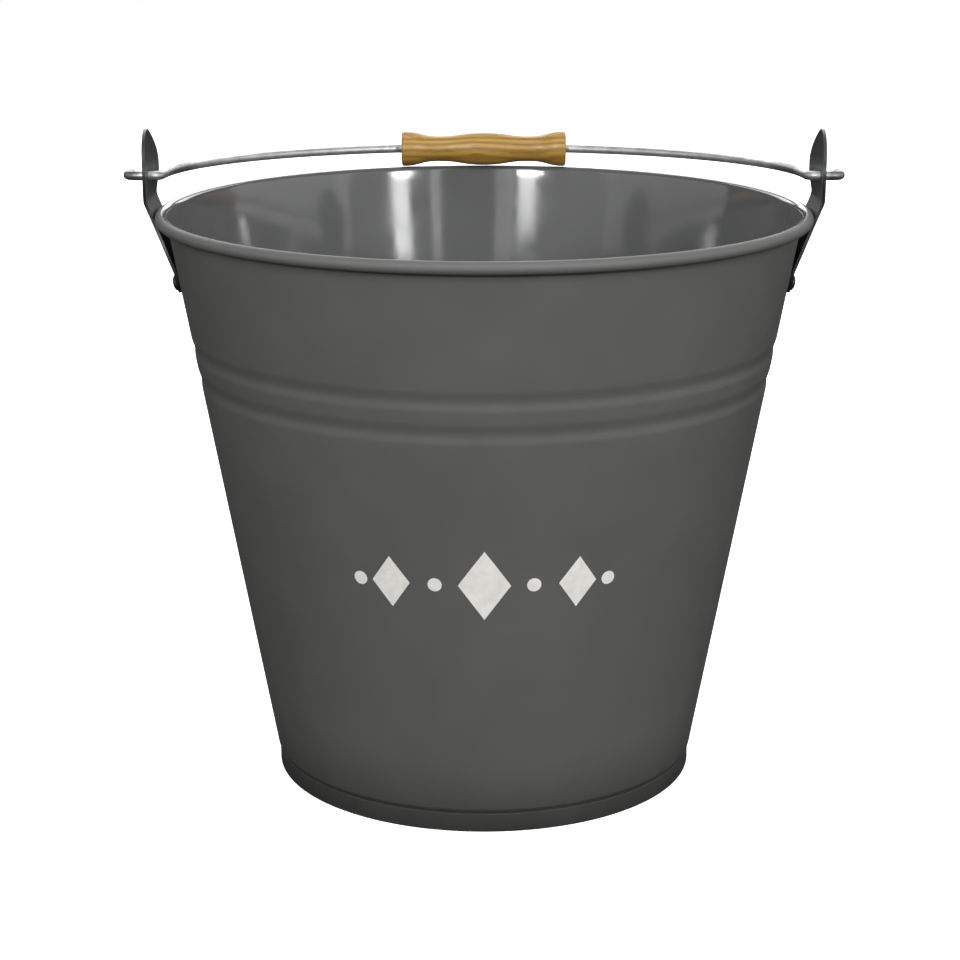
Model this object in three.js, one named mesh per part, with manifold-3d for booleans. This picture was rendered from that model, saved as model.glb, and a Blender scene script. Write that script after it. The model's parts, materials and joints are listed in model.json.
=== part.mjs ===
// A coal bucket of about 14 litres, in millimetres, +Z up.
// The origin is on the floor under the middle of the bucket. +X runs through the right-hand ear and
// -Y is the front.
//
// The wall is one rolled steel sheet. Its top edge is rolled outwards round a rim wire, two swages
// ring it below the mouth, and its bottom edge stands in the folded seam of the pressed base, which
// makes the foot. A pressed ear is riveted to the wall on each side. It leans out past the rolled rim
// and carries the end of the wire bail in a hole. The bail lies back on the rim, with a turned wooden
// grip that spins on it.

import * as THREE from "three";
import { mergeVertices } from "three/addons/utils/BufferGeometryUtils.js";
import Module from "manifold-3d";

const wasm = await Module();
wasm.setup();

// ---- Driving dimensions ----

const CLEARANCE = 0.3; // between pieces that touch
const SHEET = 0.7; // steel sheet of the wall and the base

const BUCKET_HEIGHT = 281; // floor to the top of the rolled rim
const MOUTH_RADIUS = 153.2; // outside of the wall, carried up to the top of the rim
const RIM_WIRE_RADIUS = 2;
const RIM_ROLL_END = -125; // degrees, where the rolled edge stops short of the wall

const FOOT_RADIUS = 104; // outside of the foot seam
const WAIST_STEP = 0.5; // the wall stands this far outside the foot seam, just above it
const FOOT_HEIGHT = 9;
const FLOOR_HEIGHT = 8.35; // top of the base inside the bucket
const FLOOR_BEND = 2;
const SEAM_ROUNDING = 0.75; // of the seam's foot, where 1 is a full half-round
const NECK_HEIGHT = 2.5; // the wall narrows into the seam over this height

const SWAGE_DROPS = [79.4, 64.1]; // middle of each swage below the top of the rim
const SWAGE_WIDTH = 11;
const SWAGE_DEPTH = 0.6;

const PIVOT_RISE = 15; // bail pivot above the top of the rim
const PIVOT_HOLE_RADIUS = 2.75;

const EAR_SHEET = 1.5;
const EAR_FOOT_DROP = 41; // lowest point of the ear below the top of the rim
const EAR_STEP_DROP = 28.5; // here the ear leaves the wall and leans out past the rim
const EAR_HEAD_RISE = 4.5; // above the top of the rim, where the ear turns upright
const EAR_TIP_RISE = 22.5; // tip above the pivot
const EAR_BEND = 6;
const EAR_HEAD_WIDTH = 49; // across the shoulders
const EAR_SHOULDER_RISE = 3; // shoulders above the pivot
const EAR_NECK_WIDTH = 36; // at the rim
const EAR_LEAF_WIDTH = 43; // across the riveted leaf
const EAR_CURVE = 0.55; // reach of each curve's handles, as a share of its height
const EAR_TIP_FULLNESS = 0.22; // share of the width that the blunt tip keeps level
const EAR_FOOT_FULLNESS = 0.8; // and the rounded lower end

const BAIL_WIRE_RADIUS = 2.25;
const BAIL_SIDE_PLAY = 3.4; // between the wire's arms and the ears' inner faces
const BAIL_BEND = 4.5; // at the hooked ends
const BAIL_KNEE_BEND = 9; // where the wire straightens for the grip
const HOOK_STANDOFF = 6.9; // between the ears' outer faces and the hooked ends
const HOOK_LENGTH = 15;

const GRIP_LENGTH = 89;
const GRIP_END_RADIUS = 9.4;
const GRIP_WAIST_RADIUS = 6.8;
const GRIP_BELLY_RADIUS = 8.8;
const GRIP_WAIST_PLACE = 24.5; // from the middle of the grip
const GRIP_BEVEL = 1.3;
const GRIP_END_PLAY = 1.5; // wire that stays straight past each end of the grip

const RIVET_SHANK_RADIUS = 1.9;
const RIVET_HEAD_RADIUS = 3.7;
const RIVET_HEAD_HEIGHT = 1.6;
const RIVET_TAIL_RADIUS = 3.2;
const RIVET_TAIL_HEIGHT = 1.2;
const RIVET_TAIL_GAP = 0.5; // the tail is flat and the wall is curved
const RIVET_DROP = 34.5; // below the top of the rim
const RIVET_PLACES = { front: -11, rear: 11 }; // across the ear

const DRILL_LENGTH = 8 * EAR_SHEET; // of the tools that cut the holes

const SIDES = { right: 1, left: -1 }; // along X

const ROUND = 64; // flats round the bucket
const EAR_ROUND = 120; // flats round the circle that the ears are cut from
const ROLL_STEPS = 9; // flats of the rolled rim
const SWAGE_STEPS = 4; // flats across each swage
const DOME_STEPS = 3; // flats of each rivet's domes
const RIM_WIRE_SIDES = 8;
const BAIL_SIDES = 10;
const BAIL_ARC_STEPS = 12; // flats of the arc on each side of the grip
const GRIP_SIDES = 20;
const RIVET_SIDES = 12;
const HOLE_SIDES = 24; // of the pivot hole
const CURVE_STEPS = 5; // flats of each curve of the ears and the grip
const BEND_SAG = 0.1; // how far a bend's flats may lie inside its true arc

const degrees = THREE.MathUtils.degToRad;

// ---- Colours ----

const paint = new THREE.MeshStandardMaterial({ color: 0x5b5b58, roughness: 0.55, metalness: 0.1 });
const zinc = new THREE.MeshStandardMaterial({ color: 0x9a9c9b, roughness: 0.35, metalness: 0.9 });
const wood = new THREE.MeshStandardMaterial({ color: 0xc08c46, roughness: 0.5, metalness: 0 });

// ---- Shaping tools ----

// Corners are [x, y] or [x, y, bend radius]. Each bend becomes a short run of points.
function bentLine(corners) {
  const line = [];
  corners.forEach(([x, y, radius = 0], i) => {
    const corner = new THREE.Vector2(x, y);
    if (!radius) {
      line.push(corner);
      return;
    }
    const before = new THREE.Vector2(...corners[i - 1].slice(0, 2)).sub(corner).normalize();
    const after = new THREE.Vector2(...corners[i + 1].slice(0, 2)).sub(corner).normalize();
    const halfOpening = Math.acos(before.dot(after)) / 2;
    const middle = before.clone().add(after).normalize();
    const centre = corner.clone().addScaledVector(middle, radius / Math.sin(halfOpening));
    const start = corner.clone().addScaledVector(before, radius / Math.tan(halfOpening)).sub(centre);
    const turn = (Math.PI - 2 * halfOpening) * Math.sign(after.cross(before));
    const steps = Math.max(2, Math.ceil(Math.abs(turn) / (2 * Math.acos(1 - BEND_SAG / radius))));
    for (let k = 0; k <= steps; k++) {
      const spoke = start.clone().rotateAround(new THREE.Vector2(), (turn * k) / steps);
      line.push(spoke.add(centre));
    }
  });
  return line;
}

// The closed outline of a sheet whose middle follows a line.
function sheetOutline(line, thickness) {
  const last = line.length - 1;
  const out = [];
  const back = [];
  line.forEach((point, i) => {
    const behind = line[Math.max(i, 1)].clone().sub(line[Math.max(i, 1) - 1]).normalize();
    const ahead = line[Math.min(i + 1, last)].clone().sub(line[Math.min(i, last - 1)]).normalize();
    const along = behind.clone().add(ahead).normalize();
    const across = new THREE.Vector2(along.y, -along.x).multiplyScalar(thickness / 2 / along.dot(ahead));
    out.push(point.clone().add(across));
    back.unshift(point.clone().sub(across));
  });
  return [...out, ...back];
}

// Turns a closed outline of (radius, height) points about the Z axis. An outline that reaches the axis
// has two points there.
function revolve(outline, flats) {
  const points = outline.map((p) => p.clone());
  if (THREE.ShapeUtils.area(points) < 0) points.reverse();
  if (points.some((p) => p.x === 0)) {
    while (points[0].x !== 0 || points.at(-1).x !== 0) points.push(points.shift());
  } else {
    points.push(points[0].clone());
  }
  return new THREE.LatheGeometry(points, flats).rotateX(Math.PI / 2);
}

function toSolid(geometry) {
  const bare = geometry.index ? geometry.toNonIndexed() : geometry.clone();
  bare.deleteAttribute("normal");
  bare.deleteAttribute("uv");
  const merged = mergeVertices(bare, 1e-3);
  const vertProperties = merged.attributes.position.array;
  const triVerts = new Uint32Array(merged.index.array);
  return new wasm.Manifold(new wasm.Mesh({ numProp: 3, vertProperties, triVerts }));
}

function toGeometry(solid) {
  const mesh = solid.getMesh();
  const geometry = new THREE.BufferGeometry();
  geometry.setAttribute("position", new THREE.BufferAttribute(mesh.vertProperties, 3));
  geometry.setIndex(new THREE.BufferAttribute(mesh.triVerts, 1));
  geometry.computeVertexNormals();
  return geometry;
}

// A curve that an extrusion follows station by station, so that bends get more stations than straights.
class Stations extends THREE.Curve {
  constructor(points) {
    super();
    this.points = points;
  }
  getPoint(t) {
    return this.points[Math.round(t * (this.points.length - 1))].clone();
  }
  getSpacedPoints() {
    return this.points.map((p) => p.clone());
  }
  getTangentAt(t) {
    const last = this.points.length - 1;
    const i = Math.round(t * last);
    const behind = this.points[i].clone().sub(this.points[Math.max(i - 1, 0)]).normalize();
    const ahead = this.points[Math.min(i + 1, last)].clone().sub(this.points[i]).normalize();
    return behind.add(ahead).normalize();
  }
}

function circle(x, y, radius, sides) {
  return Array.from({ length: sides }, (_, k) => {
    const angle = (2 * Math.PI * k) / sides;
    return new THREE.Vector2(x + radius * Math.cos(angle), y + radius * Math.sin(angle));
  });
}

function wireAlong(points, radius, sides) {
  const section = new THREE.Shape(circle(0, 0, radius, sides));
  return new THREE.ExtrudeGeometry(section, { steps: points.length - 1, extrudePath: new Stations(points) });
}

function piece(name, geometry, material) {
  const mesh = new THREE.Mesh(geometry, material);
  mesh.name = name;
  return mesh;
}

// ---- Lines shared by the wall and what is fastened to it ----

const waistRadius = FOOT_RADIUS + WAIST_STEP;
const wallSlope = (MOUTH_RADIUS - waistRadius) / (BUCKET_HEIGHT - FOOT_HEIGHT);
const wallTilt = Math.atan(wallSlope);

const wallOutside = (height) => waistRadius + wallSlope * (height - FOOT_HEIGHT);

// Radius of a line that runs a distance outside the wall's outer face, measured square to it.
const besideWall = (height, distance) => wallOutside(height) + distance / Math.cos(wallTilt);

const rimRollRadius = RIM_WIRE_RADIUS + CLEARANCE + SHEET;
const rimRollMiddle = rimRollRadius - SHEET / 2;
const rimCentreHeight = BUCKET_HEIGHT - rimRollRadius;
const rimTangentHeight = rimCentreHeight + rimRollMiddle * Math.sin(wallTilt);
const rimCentreRadius = besideWall(rimTangentHeight, -SHEET / 2) + rimRollMiddle * Math.cos(wallTilt);

// The middles of the three sheets in the foot seam: the base's band outside, the wall, the base's leg inside.
const bandRadius = FOOT_RADIUS - SHEET / 2;
const seamWallRadius = bandRadius - SHEET - CLEARANCE;
const legRadius = seamWallRadius - SHEET - CLEARANCE;
const seamCorner = SEAM_ROUNDING * (SHEET + CLEARANCE);

// ---- Body ----

function wallLine() {
  const edgeHeight = SHEET / 2 + seamCorner + CLEARANCE;
  const neckStart = FOOT_HEIGHT + CLEARANCE;
  const neckEnd = neckStart + NECK_HEIGHT;
  const line = [
    new THREE.Vector2(seamWallRadius, edgeHeight),
    new THREE.Vector2(seamWallRadius, neckStart),
    new THREE.Vector2(besideWall(neckEnd, -SHEET / 2), neckEnd),
  ];
  for (const drop of SWAGE_DROPS) {
    for (let k = 0; k <= SWAGE_STEPS; k++) {
      const share = k / SWAGE_STEPS - 0.5;
      const height = BUCKET_HEIGHT - drop + share * SWAGE_WIDTH;
      const depth = SWAGE_DEPTH * Math.cos(Math.PI * share) ** 2;
      line.push(new THREE.Vector2(besideWall(height, -SHEET / 2 - depth), height));
    }
  }
  const rollStart = Math.PI - wallTilt;
  const rollSweep = degrees(RIM_ROLL_END) - rollStart;
  for (let k = 0; k <= ROLL_STEPS; k++) {
    const angle = rollStart + (rollSweep * k) / ROLL_STEPS;
    const spoke = new THREE.Vector2(Math.cos(angle), Math.sin(angle)).multiplyScalar(rimRollMiddle);
    line.push(spoke.add(new THREE.Vector2(rimCentreRadius, rimCentreHeight)));
  }
  return line;
}

function bodyShell() {
  let shell = toSolid(revolve(sheetOutline(wallLine(), SHEET), ROUND));
  for (const side of Object.values(SIDES)) {
    for (const across of Object.values(RIVET_PLACES)) shell = shell.subtract(rivetHole(side, across));
  }
  return toGeometry(shell);
}

function rimWire() {
  return revolve(circle(rimCentreRadius, rimCentreHeight, RIM_WIRE_RADIUS, RIM_WIRE_SIDES), ROUND);
}

function basePan() {
  const floorLine = FLOOR_HEIGHT - SHEET / 2;
  const line = bentLine([
    [0, floorLine],
    [legRadius, floorLine, FLOOR_BEND],
    [legRadius, SHEET / 2, seamCorner],
    [bandRadius, SHEET / 2, seamCorner],
    [bandRadius, FOOT_HEIGHT],
  ]);
  return revolve(sheetOutline(line, SHEET), ROUND);
}

// ---- Ears ----

const pivotHeight = BUCKET_HEIGHT + PIVOT_RISE;
const earFootHeight = BUCKET_HEIGHT - EAR_FOOT_DROP;
const earStepHeight = BUCKET_HEIGHT - EAR_STEP_DROP;
const earHeadHeight = BUCKET_HEIGHT + EAR_HEAD_RISE;
const earTipHeight = pivotHeight + EAR_TIP_RISE;

// Radius of the middle of the ear's sheet on the wall.
const earLeafRadius = (height) => besideWall(height, CLEARANCE + EAR_SHEET / 2);

// Between the wall and the upright head the ear just clears the rolled rim.
const rimFromStep = new THREE.Vector2(rimCentreRadius, rimCentreHeight);
rimFromStep.sub(new THREE.Vector2(earLeafRadius(earStepHeight), earStepHeight));
const earReach = rimRollRadius + CLEARANCE + EAR_SHEET / 2;
const earLean = Math.atan2(rimFromStep.x, rimFromStep.y) + Math.asin(earReach / rimFromStep.length());
const earHeadRadius = earLeafRadius(earStepHeight) + (earHeadHeight - earStepHeight) * Math.tan(earLean);

// The ear's outline seen from the side, as (across, height): one half from the foot to the tip, then
// its mirror image.
function earBlank() {
  const shoulderHeight = pivotHeight + EAR_SHOULDER_RISE;
  const head = EAR_HEAD_WIDTH / 2;
  const neck = EAR_NECK_WIDTH / 2;
  const leaf = EAR_LEAF_WIDTH / 2;
  const towards = (from, to) => from + (to - from) * EAR_CURVE;
  const half = new THREE.Path().moveTo(0, earFootHeight);
  // Each curve is upright where it meets the next, and level at the foot and the tip.
  const footHandle = [leaf * EAR_FOOT_FULLNESS, earFootHeight];
  half.bezierCurveTo(...footHandle, leaf, towards(earStepHeight, earFootHeight), leaf, earStepHeight);
  for (const [from, to, start, end] of [
    [leaf, neck, earStepHeight, BUCKET_HEIGHT],
    [neck, head, BUCKET_HEIGHT, shoulderHeight],
  ]) {
    half.bezierCurveTo(from, towards(start, end), to, towards(end, start), to, end);
  }
  const tipHandle = [head * EAR_TIP_FULLNESS, earTipHeight];
  half.bezierCurveTo(head, towards(shoulderHeight, earTipHeight), ...tipHandle, 0, earTipHeight);
  const points = half.getPoints(CURVE_STEPS);
  const mirrored = points.slice(1, -1).reverse().map((p) => new THREE.Vector2(-p.x, p.y));
  return new THREE.Shape([...points, ...mirrored]);
}

// A revolved band with the ear's bends, cut to the blank's outline and drilled.
function earGeometry() {
  const bandFoot = earFootHeight - EAR_SHEET;
  const bandTop = earTipHeight + EAR_SHEET;
  const line = bentLine([
    [earLeafRadius(bandFoot), bandFoot],
    [earLeafRadius(earStepHeight), earStepHeight, EAR_BEND],
    [earHeadRadius, earHeadHeight, EAR_BEND],
    [earHeadRadius, bandTop],
  ]);
  const band = toSolid(revolve(sheetOutline(line, EAR_SHEET), EAR_ROUND));
  const cutter = new THREE.ExtrudeGeometry(earBlank(), { depth: 2 * MOUTH_RADIUS, bevelEnabled: false });
  cutter.rotateX(Math.PI / 2).rotateZ(Math.PI / 2); // across the X axis, upright
  let ear = band.intersect(toSolid(cutter)).subtract(pivotHole());
  for (const across of Object.values(RIVET_PLACES)) ear = ear.subtract(rivetHole(SIDES.right, across));
  return toGeometry(ear);
}

function pivotHole() {
  const drill = new THREE.CylinderGeometry(PIVOT_HOLE_RADIUS, PIVOT_HOLE_RADIUS, DRILL_LENGTH, HOLE_SIDES);
  drill.rotateZ(Math.PI / 2).translate(earHeadRadius, 0, pivotHeight);
  return toSolid(drill);
}

// ---- Rivets ----

// A group that stands on the wall's outer face at a rivet's place, with its own +Z square to the wall.
function rivetSeat(side, across) {
  const height = BUCKET_HEIGHT - RIVET_DROP;
  const x = side * Math.sqrt(wallOutside(height) ** 2 - across ** 2);
  const seat = new THREE.Group();
  seat.position.set(x, across, height);
  seat.rotation.set(0, Math.PI / 2 + wallTilt, Math.atan2(across, x), "ZYX");
  return seat;
}

function rivetHole(side, across) {
  const radius = RIVET_SHANK_RADIUS + CLEARANCE;
  const drill = new THREE.CylinderGeometry(radius, radius, DRILL_LENGTH, RIVET_SIDES).rotateX(Math.PI / 2);
  const seat = rivetSeat(side, across);
  seat.updateMatrix();
  return toSolid(drill.applyMatrix4(seat.matrix));
}

function rivetGeometry() {
  const headSeat = EAR_SHEET + 2 * CLEARANCE;
  const tailSeat = -SHEET - RIVET_TAIL_GAP;
  // A dome of a radius and a height on a seat, from its crown to its edge. A negative height hangs down.
  const dome = (seat, radius, height) => {
    const points = [];
    for (let k = 0; k <= DOME_STEPS; k++) {
      const angle = (Math.PI / 2) * (k / DOME_STEPS);
      points.push(new THREE.Vector2(radius * Math.sin(angle), seat + height * Math.cos(angle)));
    }
    return points;
  };
  const outline = [
    ...dome(headSeat, RIVET_HEAD_RADIUS, RIVET_HEAD_HEIGHT),
    new THREE.Vector2(RIVET_SHANK_RADIUS, headSeat),
    new THREE.Vector2(RIVET_SHANK_RADIUS, tailSeat),
    ...dome(tailSeat, RIVET_TAIL_RADIUS, -RIVET_TAIL_HEIGHT).reverse(),
  ];
  return revolve(outline, RIVET_SIDES);
}

// ---- Bail and grip ----

const armRadius = earHeadRadius - EAR_SHEET / 2 - BAIL_SIDE_PLAY - BAIL_WIRE_RADIUS;
const hookReach = earHeadRadius + EAR_SHEET / 2 + HOOK_STANDOFF + BAIL_WIRE_RADIUS;
const straightHalf = GRIP_LENGTH / 2 + GRIP_END_PLAY; // of the wire under the grip
const gripDistance = Math.sqrt(armRadius ** 2 - straightHalf ** 2); // grip's axis from the pivot axis

// At rest the bail lies back until the grip's flared ends meet the top of the rim.
const gripRestHeight = BUCKET_HEIGHT + CLEARANCE + GRIP_END_RADIUS;
const bailRestDrop = Math.asin((pivotHeight - gripRestHeight) / gripDistance);

// The bail stands upright in its own frame, with X along the pivot axis and Z towards the grip. Its
// arms and bow are one arc about the middle of the pivot axis.
function bailWire() {
  const rightHalf = [
    [hookReach, HOOK_LENGTH],
    [hookReach, 0, BAIL_BEND],
    [armRadius, 0, BAIL_BEND],
  ];
  const kneeAngle = Math.acos(straightHalf / armRadius);
  for (let k = 1; k <= BAIL_ARC_STEPS; k++) {
    const angle = (kneeAngle * k) / BAIL_ARC_STEPS;
    rightHalf.push([armRadius * Math.cos(angle), armRadius * Math.sin(angle)]);
  }
  rightHalf.at(-1).push(BAIL_KNEE_BEND);
  const leftHalf = rightHalf.toReversed().map(([x, z, ...bend]) => [-x, z, ...bend]);
  const line = bentLine([...rightHalf, ...leftHalf]);
  return wireAlong(line.map((p) => new THREE.Vector3(p.x, 0, p.y)), BAIL_WIRE_RADIUS, BAIL_SIDES);
}

// A turned grip with flared ends and a full middle, bored for the wire. Its own Z is its axis.
function gripGeometry() {
  const half = GRIP_LENGTH / 2;
  const bore = BAIL_WIRE_RADIUS + CLEARANCE;
  const waistRun = (half - GRIP_WAIST_PLACE) / 2;
  const bellyRun = GRIP_WAIST_PLACE / 2;
  const flare = new THREE.CubicBezierCurve(
    new THREE.Vector2(GRIP_END_RADIUS, half - GRIP_BEVEL),
    new THREE.Vector2(GRIP_END_RADIUS, half - waistRun),
    new THREE.Vector2(GRIP_WAIST_RADIUS, GRIP_WAIST_PLACE + waistRun),
    new THREE.Vector2(GRIP_WAIST_RADIUS, GRIP_WAIST_PLACE),
  );
  const belly = new THREE.CubicBezierCurve(
    new THREE.Vector2(GRIP_WAIST_RADIUS, GRIP_WAIST_PLACE),
    new THREE.Vector2(GRIP_WAIST_RADIUS, GRIP_WAIST_PLACE - bellyRun),
    new THREE.Vector2(GRIP_BELLY_RADIUS, bellyRun),
    new THREE.Vector2(GRIP_BELLY_RADIUS, 0),
  );
  const upper = [
    new THREE.Vector2(bore, half),
    new THREE.Vector2(GRIP_END_RADIUS - GRIP_BEVEL, half),
    ...flare.getPoints(CURVE_STEPS),
    ...belly.getPoints(CURVE_STEPS).slice(1),
  ];
  const lower = upper.slice(0, -1).reverse().map((p) => new THREE.Vector2(p.x, -p.y));
  return revolve([...upper, ...lower], GRIP_SIDES);
}

// ---- Assembly ----

const bucket = new THREE.Group();
bucket.add(piece("body_shell", bodyShell(), paint));
bucket.add(piece("rim_wire", rimWire(), zinc));
bucket.add(piece("base_pan", basePan(), paint));

const earShape = earGeometry();
const rivetShape = rivetGeometry();
for (const [name, side] of Object.entries(SIDES)) {
  const ear = piece(`ear_${name}`, earShape, paint);
  ear.rotation.z = side === SIDES.right ? 0 : Math.PI;
  bucket.add(ear);
  for (const [spot, across] of Object.entries(RIVET_PLACES)) {
    const seat = rivetSeat(side, across);
    seat.add(piece(`rivet_${name}_${spot}`, rivetShape, paint));
    bucket.add(seat);
  }
}

const bail = new THREE.Group();
bail.position.z = pivotHeight;
bail.rotation.x = -Math.PI / 2 - bailRestDrop;
bail.add(piece("bail_wire", bailWire(), zinc));
const grip = piece("wood_grip", gripGeometry(), wood);
grip.position.z = gripDistance;
grip.rotation.y = Math.PI / 2;
bail.add(grip);
bucket.add(bail);

export default bucket;
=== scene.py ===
"""The looks of a painted steel coal bucket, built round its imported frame.

Lengths are in metres. X runs through the ears, -Y is the front and Z is up. Every CAD node but the rim wire
gets a finer mesh in its place. The frame's boxes and joints give where it stands and most of its outer sizes,
and the constants below give the rest. The painted ornament lies on the wall and stands for no node.
"""

import json
import math

import bpy
from mathutils import Matrix, Vector
from mathutils.geometry import interpolate_bezier


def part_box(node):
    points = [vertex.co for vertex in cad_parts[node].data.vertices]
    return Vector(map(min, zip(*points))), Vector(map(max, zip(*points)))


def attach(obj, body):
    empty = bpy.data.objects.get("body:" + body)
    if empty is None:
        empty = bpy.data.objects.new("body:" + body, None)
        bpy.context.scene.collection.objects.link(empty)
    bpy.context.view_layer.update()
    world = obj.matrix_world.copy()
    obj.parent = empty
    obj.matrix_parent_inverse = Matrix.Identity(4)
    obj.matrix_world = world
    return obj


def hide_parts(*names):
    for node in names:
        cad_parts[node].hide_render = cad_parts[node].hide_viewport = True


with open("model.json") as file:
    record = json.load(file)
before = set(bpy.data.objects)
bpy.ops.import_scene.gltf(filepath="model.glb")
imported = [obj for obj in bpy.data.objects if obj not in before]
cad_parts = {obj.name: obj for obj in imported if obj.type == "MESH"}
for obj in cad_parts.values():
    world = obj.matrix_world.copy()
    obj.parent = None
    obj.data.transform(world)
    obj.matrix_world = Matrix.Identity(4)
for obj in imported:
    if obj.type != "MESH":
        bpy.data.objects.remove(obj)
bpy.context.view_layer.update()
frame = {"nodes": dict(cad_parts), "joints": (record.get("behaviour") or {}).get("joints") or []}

MM = 0.001

# ---- Sizes that the frame gives ----

joints = {joint["name"]: joint for joint in frame["joints"]}
PIVOT = Vector(joints["bail_swing"]["pos_m"])
GRIP_MIDDLE = Vector(joints["grip_spin"]["pos_m"])
SHELL_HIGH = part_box("body_shell")[1]
BASE_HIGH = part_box("base_pan")[1]
EAR_LOW, EAR_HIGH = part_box("ear_right")
BAIL_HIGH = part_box("bail_wire")[1]
GRIP_LOW, GRIP_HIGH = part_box("wood_grip")

# ---- Sizes of the sheet, the wire and the turning ----

CLEARANCE = 0.3 * MM
SHEET = 0.7 * MM

RIM_ROLL_RADIUS = 3 * MM
RIM_ROLL_END = math.radians(-125)  # where the sheet's edge lies, seen from the middle of the roll
RIM_HEIGHT = 281 * MM

WAIST_STEP = 0.5 * MM  # the wall stands this far outside the foot band, just above it
NECK_HEIGHT = 2.5 * MM
SEAM_CORNER = 0.75 * (SHEET + CLEARANCE)
FLOOR_HEIGHT = 8.35 * MM
FLOOR_BEND = 2 * MM

SWAGE_HEIGHTS = (201.6 * MM, 216.9 * MM)
SWAGE_WIDTH = 11 * MM
SWAGE_DEPTH = 0.6 * MM

SIDE_SEAM_WIDTH = 9 * MM  # the lap of the wall's side seam, under the right-hand ear
SIDE_SEAM_STEP = 0.5 * MM
SIDE_SEAM_GROOVE = 0.25 * MM

# Across the side seam, in half laps from its middle.
GROOVE_WIDTH = 0.1
STEP_RISE = (-1.1, -0.9)
STEP_FALL = (0.3, 1.4)
SEAM_REACH = 1.5
SEAM_COLUMNS = 12  # columns of faces in half a lap

SEAM_START = (2 * NECK_HEIGHT, 5 * NECK_HEIGHT)  # the seam fades in over these heights above the foot band
SEAM_STOP = (5 * RIM_ROLL_RADIUS, 3 * RIM_ROLL_RADIUS)  # and out over these depths below the top of the rim

EAR_SHEET = 1.5 * MM
EAR_STEP_HEIGHT = 252.5 * MM
EAR_HEAD_HEIGHT = 285.5 * MM
EAR_BEND = 6 * MM
EAR_SHOULDER_RISE = 3 * MM
EAR_NECK_WIDTH = 36 * MM
EAR_LEAF_WIDTH = 43 * MM
EAR_CURVE = 0.55  # how far the outline's handles reach up and down, as a share of each curve's height
EAR_TIP_FULLNESS = 0.22  # how far they reach across at the tip and the foot, as a share of the half width
EAR_FOOT_FULLNESS = 0.8
EAR_EDGE_ROUND = 0.3 * MM
EAR_EDGE_STEPS = 3
EAR_CREASE = math.radians(50)
EAR_CURVE_POINTS = 25
EAR_COLUMNS = 28

PIVOT_HOLE_RADIUS = 2.75 * MM
PIVOT_HOLE_SIDES = 48

WIRE_RADIUS = 2.25 * MM
WIRE_CHAMFER = WIRE_RADIUS * 0.2
WIRE_SIDES = 28
HOOK_LENGTH = 15 * MM
BAIL_BEND = 4.5 * MM
BAIL_KNEE_BEND = 9 * MM
BAIL_ARC_STEPS = 72
GRIP_END_PLAY = 1.5 * MM

GRIP_WAIST_RADIUS = 6.8 * MM
GRIP_BELLY_RADIUS = 8.8 * MM
GRIP_WAIST_PLACE = 24.5 * MM
GRIP_BEVEL = 1.3 * MM
GRIP_BEVEL_STEPS = 6
GRIP_BORE = WIRE_RADIUS + CLEARANCE
GRIP_COUNTERSINK = 0.6 * MM
GRIP_CURVE_POINTS = 24
GRIP_SIDES = 96

RIVET_SHANK_RADIUS = 1.9 * MM
RIVET_HEAD_RADIUS = 3.7 * MM
RIVET_HEAD_HEIGHT = 1.6 * MM
RIVET_TAIL_RADIUS = 3.2 * MM
RIVET_TAIL_HEIGHT = 1.2 * MM
RIVET_TAIL_GAP = 0.45 * MM
RIVET_TAIL_SHAPE = ((0.94, 0), (1, 0.25), (0.86, 0.75), (0.55, 1), (0, 1))  # shares of its radius and height
RIVET_DOME_STEPS = 10
RIVET_SIDES = 40

ROUND = 288  # flats round the bucket
WALL_ROW = 7 * MM  # height of the wall's plain rows
SWAGE_ROWS = 20
ROLL_ROWS = 30
FLOOR_RINGS = 12
BEND_STEPS = 8
CREASE = math.radians(35)
FACING_UP = 0.5  # a face whose normal rises by more than this faces up
ON_AXIS = 1e-9  # a point nearer to the axis than this lies on it

# ---- Shaping tools ----


def bent_line(corners):
    """Corners are (x, y) or (x, y, bend radius). Each bend becomes a run of points."""
    line = []
    for i, (x, y, *bend) in enumerate(corners):
        corner = Vector((x, y))
        if not bend:
            line.append(corner)
            continue
        before = (Vector(corners[i - 1][:2]) - corner).normalized()
        after = (Vector(corners[i + 1][:2]) - corner).normalized()
        half_opening = before.angle(after) / 2
        centre = corner + (before + after).normalized() * (bend[0] / math.sin(half_opening))
        start = corner + before * (bend[0] / math.tan(half_opening)) - centre
        turn = math.copysign(math.pi - 2 * half_opening, after.x * before.y - after.y * before.x)
        for k in range(BEND_STEPS + 1):
            line.append(centre + Matrix.Rotation(turn * k / BEND_STEPS, 2) @ start)
    return line


def sheet_outline(line, thickness):
    """The closed outline of a sheet whose middle follows a line."""
    out, back = [], []
    for i, point in enumerate(line):
        behind = (line[max(i, 1)] - line[max(i, 1) - 1]).normalized()
        ahead = (line[min(i + 1, len(line) - 1)] - line[min(i, len(line) - 2)]).normalized()
        along = (behind + ahead).normalized()
        across = Vector((along.y, -along.x)) * (thickness / 2 / along.dot(ahead))
        out.append(point + across)
        back.append(point - across)
    return out + back[::-1]


def add_piece(name, vertices, faces, material, crease=CREASE):
    """A new smooth-shaded object, with sharp edges where its surface turns by more than the crease angle."""
    mesh = bpy.data.meshes.new(name)
    mesh.from_pydata([tuple(v) for v in vertices], [], faces)
    mesh.validate()
    mesh.polygons.foreach_set("use_smooth", [True] * len(mesh.polygons))
    mesh.set_sharp_from_angle(angle=crease)
    mesh.materials.append(material)
    piece = bpy.data.objects.new(name, mesh)
    bpy.context.scene.collection.objects.link(piece)
    return piece


def even_angles(count):
    return [2 * math.pi * k / count for k in range(count)]


def doubled_area(outline):
    """Twice the area of a closed outline, above zero where it runs anticlockwise."""
    return sum(a.x * b.y - b.x * a.y for a, b in zip(outline, outline[1:] + outline[:1]))


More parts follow.
